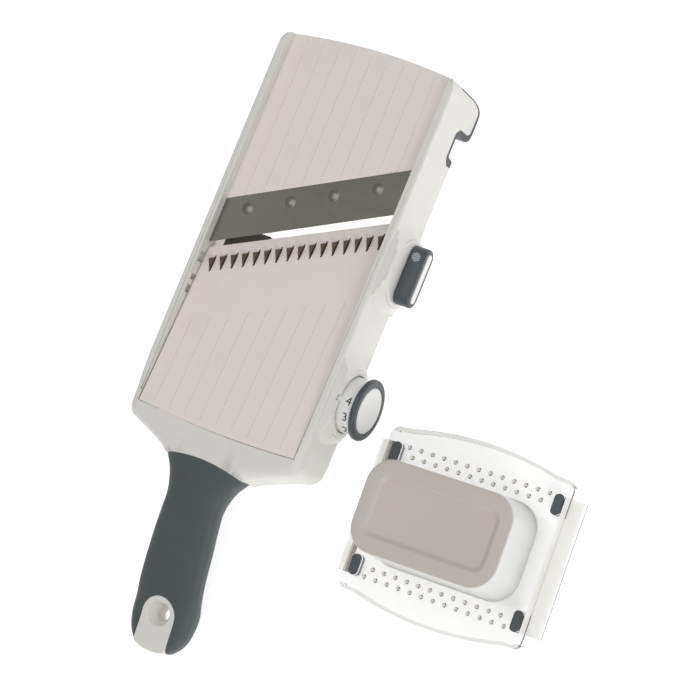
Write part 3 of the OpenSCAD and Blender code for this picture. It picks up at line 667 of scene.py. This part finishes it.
def build_knob():
    pivot = DIAL["julienne_knob_turn"]
    low, high = box_mm("julienne_knob")
    insert_low, insert_high = box_mm("julienne_knob_insert")
    radius = (high.z - low.z) / 2
    half_len = (high.y - low.y) / 2 - radius
    back_edge, front_edge, lip_edge = 0.9, 1.4, 0.3
    recess_r, recess_len, body_r = 2.6, 12, 4
    profile = fillet(low.x + back_edge, radius - back_edge, back_edge, 180, 90, 4)
    profile += fillet(high.x - front_edge, radius - front_edge, front_edge, 90, 0, 6)
    profile += fillet(high.x - lip_edge, recess_r + lip_edge, lip_edge, 0, -90, 3)
    profile += [(insert_low.x, recess_r)]
    rings = [stadium(x, pivot.y, pivot.z, half_len if r > body_r else recess_len, r)
             for x, r in profile]
    plain_piece("julienne_knob_moulded", loft(rings), "julienne_dial", "dark_plastic", DARK,
                "julienne_knob", sharp=50)
    inlay_r = (insert_high.z - insert_low.z) / 2
    inlay_len = (insert_high.y - insert_low.y) / 2 - inlay_r
    top = insert_high.x
    edge, gap = 0.5, 0.02
    inlay = [(insert_low.x + gap, inlay_r)] + fillet(top - edge, inlay_r - edge, edge, 90, 0, 4)
    rings = [stadium(x, pivot.y, pivot.z, inlay_len, r) for x, r in inlay]
    plain_piece("julienne_knob_inlay", loft(rings), "julienne_dial", "bright_plastic", BRIGHT,
                "julienne_knob_insert", sharp=50)
    build_icon((low.x + high.x) / 2 - 0.3, high)


def build_icon(x, high):
    """A round printed mark of slanting strips near the far end of the knob."""
    radius, strips, half_width = 2.5, 5, 0.32
    sunk, proud = 0.06, 0.05
    centre_y = high.y - 7.0
    turn = math.radians(30)
    c, d = math.cos(turn), math.sin(turn)
    bm = bmesh.new()
    for k in range(strips):
        across = -radius + (k + 0.5) * 2 * radius / strips
        half = math.sqrt(radius ** 2 - across ** 2)
        corners = [(u, across + v) for u, v in ((-half, -half_width), (half, -half_width),
                                                (half, half_width), (-half, half_width))]
        level = [(x + u * c - v * d, centre_y + u * d + v * c) for u, v in corners]
        add_prism(bm, [(u, v, high.z - sunk) for u, v in level],
                  [(u, v, high.z + proud) for u, v in level])
    plain_piece("julienne_knob_mark", bm, "julienne_dial", "bright_plastic", ICON)


# ------------------------------------------------------------------ food guard

GUARD_TURN = math.radians(2.5)
CAP_HALF_X, CAP_HALF_Y, CAP_CORNER = 42.9, 27.4, 15
CAP_LEAN = 1.3
LIP_HALF_X, LIP_HALF_Y, LIP_CORNER = 34.3, 16.2, 5.5


def guard_centre():
    """Middle of the guard's cap, in mm."""
    low, high = box_mm("guard_cap")
    return (low + high) / 2


def at_guard(points):
    """Points drawn round the guard's middle, turned and moved to where it lies."""
    centre = guard_centre()
    c, s = math.cos(GUARD_TURN), math.sin(GUARD_TURN)
    return [(centre.x + x * c - y * s, centre.y + x * s + y * c, z) for x, y, z in points]


def rounded_rect(half_x, half_y, radius, z, steps=10):
    """An outline with round corners at height z, turned and placed like the guard."""
    points = []
    for sx, sy, start in ((1, 1, 0), (-1, 1, 90), (-1, -1, 180), (1, -1, 270)):
        points += fillet(sx * (half_x - radius), sy * (half_y - radius), radius, start, start + 90,
                         steps)
    return at_guard([(x, y, z) for x, y in points])


def build_cap():
    """Hollow cap with a flange, walls that lean in and a recess with sloping sides on top."""
    base = box_mm("guard_cap")[0].z
    top = box_mm("guard_cap")[1].z
    flange, wall, drop, edge, steps = 1.6, 2.4, 2.0, 1.2, 8
    # the outer side from the table up, as how far it lies inside the flange, and its height
    outer = [(0.3, base), (0, base + 0.3), (0, base + flange - 0.4), (0.25, base + flange),
             (0.5, base + flange + 0.25), (0.6, base + flange + 0.9)]
    (foot, low), high = outer[-1], top - edge
    outer += [(foot + 0.1 * t / steps, low + (high - low) * t / steps)
              for t in range(1, steps + 1)]
    outer += [(foot + 0.1 + edge - r, z) for r, z in fillet(0, high, edge, 0, 90, 6)][1:]
    rings = []
    for inset, z in outer:
        lean = CAP_LEAN * (z - base) / (top - base)
        rings.append(rounded_rect(CAP_HALF_X - inset, CAP_HALF_Y - inset - lean,
                                  CAP_CORNER - inset, z))
    # the recess from its lip down, as how far it lies outside the lip, and its depth
    slope = [(1.2, 0), (0.8, 0.05), (0.4, 0.25), (-1.0, drop - 0.35), (-1.4, drop - 0.08),
             (-1.9, drop)]
    for grow, depth in slope:
        rings.append(rounded_rect(LIP_HALF_X + grow, LIP_HALF_Y + grow, LIP_CORNER + grow,
                                  top - depth))
    bm = loft(rings, cap_start=False)
    inner = [(wall, base), (wall, top - 6.6), (wall + 0.3, top - 5.2), (wall + 1.4, top - 4.4),
             (wall + 3, top - 4.2)]
    hollow = [rounded_rect(CAP_HALF_X - d, CAP_HALF_Y - CAP_LEAN - d, CAP_CORNER - d, z)
              for d, z in inner]
    rows = [make_row(bm, ring) for ring in [rings[0]] + hollow]
    stitch(bm, rows)
    bm.faces.new(rows[-1])
    bmesh.ops.remove_doubles(bm, verts=bm.verts, dist=0.001 * MM)
    plain_piece("guard_cap_moulded", bm, "food_guard", "cap_plastic", CAP, "guard_cap", sharp=45)


def build_guard():
    build_cap()
    plain_piece("guard_plate_moulded", cleaned(NODES["guard_plate"].data), "food_guard",
                "clear_plastic", CLEAR, "guard_plate", sharp=30)
    refined("guard_feet", "food_guard", "dark_plastic", DARK, 0.35)


# ------------------------------------------------------------------ inner works

def finish_inner_nodes():
    """CAD nodes that keep their own shape and get a finished material."""
    finishes = {"runway_screws": STEEL, "runway_hinge_pins": STEEL, "knob_screw": STEEL,
                "julienne_shaft": BRIGHT, "julienne_crank": STEEL, "julienne_bush": STEEL,
                "dial_screw": STEEL, "dial_shaft": BRIGHT, "dial_cams": BRIGHT,
                "dial_bushes": STEEL, "detent_wheel": DARK, "detent_spring": STEEL}
    for node, material in finishes.items():
        for slot in NODES[node].material_slots:
            slot.material = material


# ------------------------------------------------------------------ stage

def build_stage():
    half, below = 3.0, 0.02 * MM
    floor_finish = surface("studio_floor", srgb(247, 247, 247), 0.7, mottle=0.004,
                           grain=2 * MM, depth=0.002 * MM,
                           Emission_Color=(1, 1, 1, 1), Emission_Strength=0.6)
    bm = bmesh.new()
    bm.faces.new([bm.verts.new((x * half, y * half, -below))
                  for x, y in ((-1, -1), (1, -1), (1, 1), (-1, 1))])
    floor = link("floor", mesh_from(bm))
    floor.data.materials.append(floor_finish)


def area_light(name, place, target, size, power):
    """A round soft lamp that looks at a target, with its size in metres and power in watts."""
    lamp = bpy.data.lights.new(name, "AREA")
    lamp.shape = "DISK"
    lamp.size = size
    lamp.energy = power
    light = link(name, lamp)
    light.location = place
    light.rotation_euler = (Vector(target) - Vector(place)).to_track_quat("-Z", "Y").to_euler()


def build_lights():
    world = bpy.data.worlds.new("studio")
    bpy.context.scene.world = world
    world.use_nodes = True
    background = world.node_tree.nodes["Background"]
    background.inputs["Color"].default_value = (1.0, 1.0, 1.0, 1)
    background.inputs["Strength"].default_value = 0.45
    middle = (0.06, 0.13, 0.02)
    area_light("key", (1.2, -0.62, 0.95), middle, 0.9, 7)
    area_light("overhead", (-0.1, 0.4, 1.7), middle, 1.4, 5.5)


def build_camera():
    """The photograph's viewpoint and the plain display transform."""
    place = (0.5602, 0.0667, 1.0926)
    forward = Vector((-0.42884489, 0.08688526, -0.8991902))
    up = Vector((-0.30592339, 0.92258516, 0.23504787))
    right = forward.cross(up)
    lens = bpy.data.cameras.new("camera")
    lens.lens = 113.14
    lens.sensor_width = 36
    lens.clip_start = 0.05
    lens.clip_end = 20
    camera = link("camera", lens)
    turn = Matrix((right, up, -forward)).transposed()
    camera.matrix_world = Matrix.Translation(place) @ turn.to_4x4()
    bpy.context.scene.camera = camera
    bpy.context.scene.view_settings.view_transform = "Standard"


build_camera()
build_stage()
build_lights()
build_body()
build_grip()
build_blades()
build_dial()
build_knob()
build_guard()
finish_inner_nodes()
